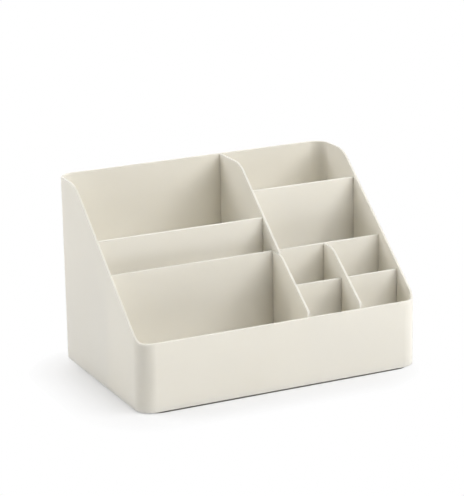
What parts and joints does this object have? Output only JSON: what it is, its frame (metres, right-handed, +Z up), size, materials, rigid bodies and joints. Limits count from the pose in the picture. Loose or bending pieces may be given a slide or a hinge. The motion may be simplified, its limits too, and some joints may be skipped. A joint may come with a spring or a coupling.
{
  "type": "desk organizer",
  "caption": "Sloped open desk organizer: tall back, low front, rounded upright corners, thin cross walls and dividers standing in steps, inset floor and thin round feet.",
  "frame": {"origin": "on the desk, under the middle of the shell's bounding box", "axes": "+X to the right as seen from the front, along the long side; +Y from the low front wall to the tall back wall; +Z up"},
  "size_m": [0.25, 0.168, 0.158],
  "materials": {
    "ivory_plastic": "satin, fine moulded texture",
    "foot_rubber": "matt"
  },
  "bodies": {
    "root": {"outer_shell": "ivory_plastic", "floor_panel": "ivory_plastic", "rear_centre_divider": "ivory_plastic", "front_centre_divider": "ivory_plastic", "front_right_divider": "ivory_plastic", "middle_cross_wall": "ivory_plastic", "rear_left_cross_wall": "ivory_plastic", "rear_right_cross_wall": "ivory_plastic", "small_cross_wall": "ivory_plastic", "foot_front_left": "foot_rubber", "foot_front_right": "foot_rubber", "foot_rear_left": "foot_rubber", "foot_rear_right": "foot_rubber"}
  },
  "joints": []
}
